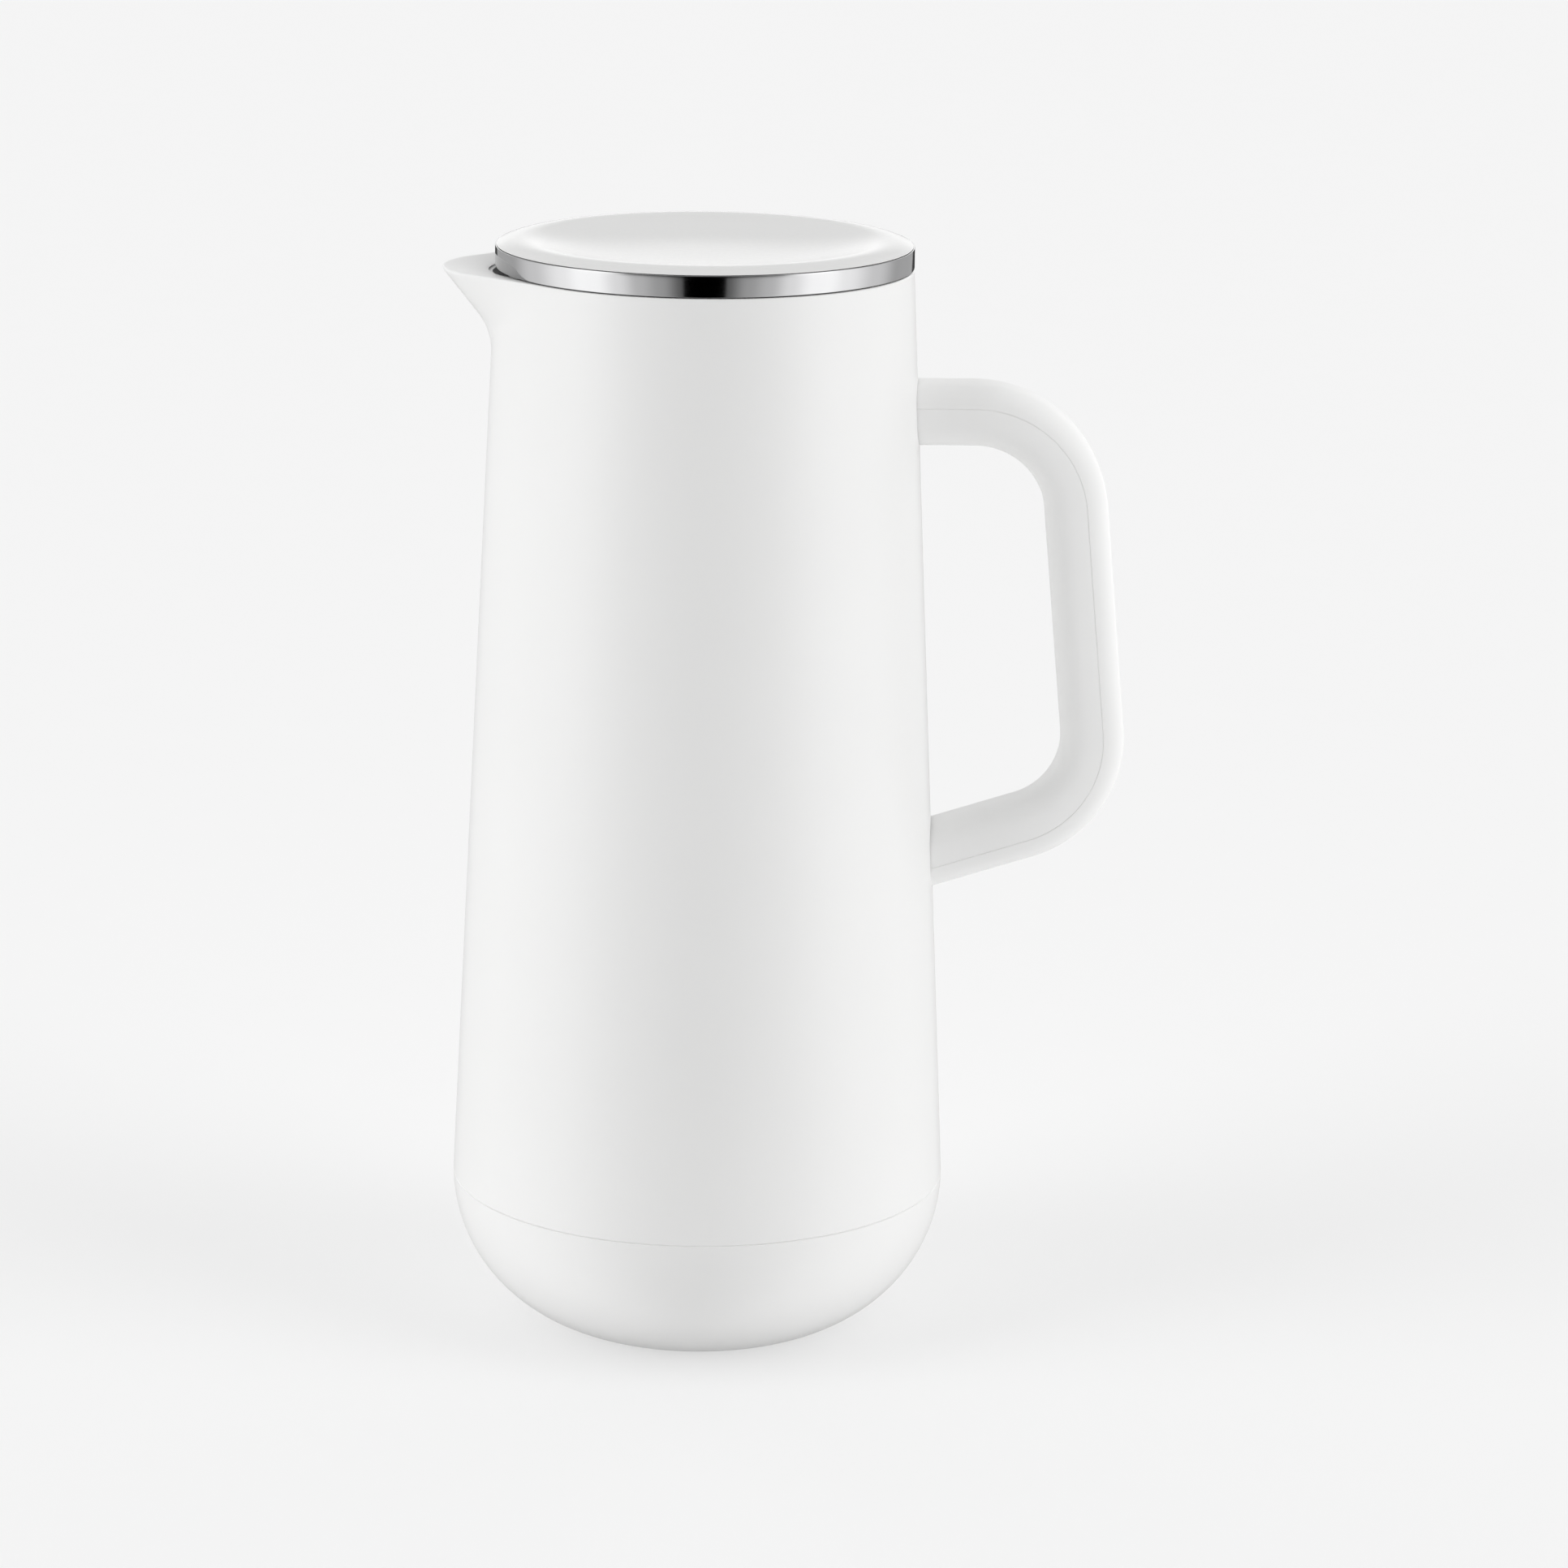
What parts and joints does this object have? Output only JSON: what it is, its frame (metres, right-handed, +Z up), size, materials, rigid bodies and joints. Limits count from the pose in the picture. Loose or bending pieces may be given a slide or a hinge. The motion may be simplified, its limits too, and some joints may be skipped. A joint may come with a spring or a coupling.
{
  "type": "thermal carafe",
  "caption": "White insulated jug on a tapered round body with a beak spout, a D handle, a steel vacuum flask inside and a dished lid that is twisted to open the pouring valve.",
  "frame": {"origin": "on the table, at the centre of the foot pad, under the body's axis", "axes": "+Z up along the body's axis, spout towards -X, handle towards +X, Y across"},
  "size_m": [0.176, 0.1288, 0.2854],
  "materials": {
    "body_white": "satin white moulded plastic with a soft sheen",
    "handle_white": "fine-grained matt white moulded plastic",
    "cap_white": "glossy white moulded plastic",
    "band_steel": "polished stainless steel",
    "flask_steel": "drawn stainless steel with fine turning marks",
    "inner_plastic": "dark grey food-safe plastic",
    "seal_rubber": "soft grey silicone",
    "foot_rubber": "ribbed grey non-slip rubber",
    "fastener_steel": "bright stainless steel",
    "getter_metal": "dull sintered metal"
  },
  "bodies": {
    "jug": {"body_shell": "body_white", "base_cup": "body_white", "foot_pad": "foot_rubber", "handle_grip": "handle_white", "handle_cover": "handle_white", "handle_screws": "fastener_steel", "flask_liner": "flask_steel", "flask_jacket": "flask_steel", "flask_base": "flask_steel", "vacuum_plug": "getter_metal", "getter": "getter_metal", "flask_cushion": "seal_rubber", "neck_gasket": "seal_rubber", "pour_collar": "inner_plastic"},
    "stopper": {"stopper_body": "inner_plastic", "stopper_gasket": "seal_rubber", "rim_seal": "seal_rubber"},
    "cap": {"lid_cap": "cap_white", "lid_band": "band_steel", "cam_sleeve": "inner_plastic", "retaining_clip": "fastener_steel"},
    "valve": {"valve_stem": "inner_plastic", "cross_pin": "fastener_steel", "valve_disc": "inner_plastic", "valve_seal": "seal_rubber", "valve_screw": "fastener_steel"}
  },
  "joints": [
    {"name": "lid_lift", "type": "slide", "parent": "jug", "child": "stopper", "axis": [0, 0, 1], "range_m": [0, 0.08]},
    {"name": "cap_twist", "type": "hinge", "parent": "stopper", "child": "cap", "pos_m": [0, 0, 0.28], "axis": [0, 0, 1], "range_deg": [0, 90]},
    {"name": "valve_drop", "type": "slide", "parent": "stopper", "child": "valve", "axis": [0, 0, -1], "range_m": [0, 0.0061]}
  ],
  "couplings": [
    {"joint": "valve_drop", "follows": "cap_twist", "m_per_rad": 0.0038197}
  ]
}
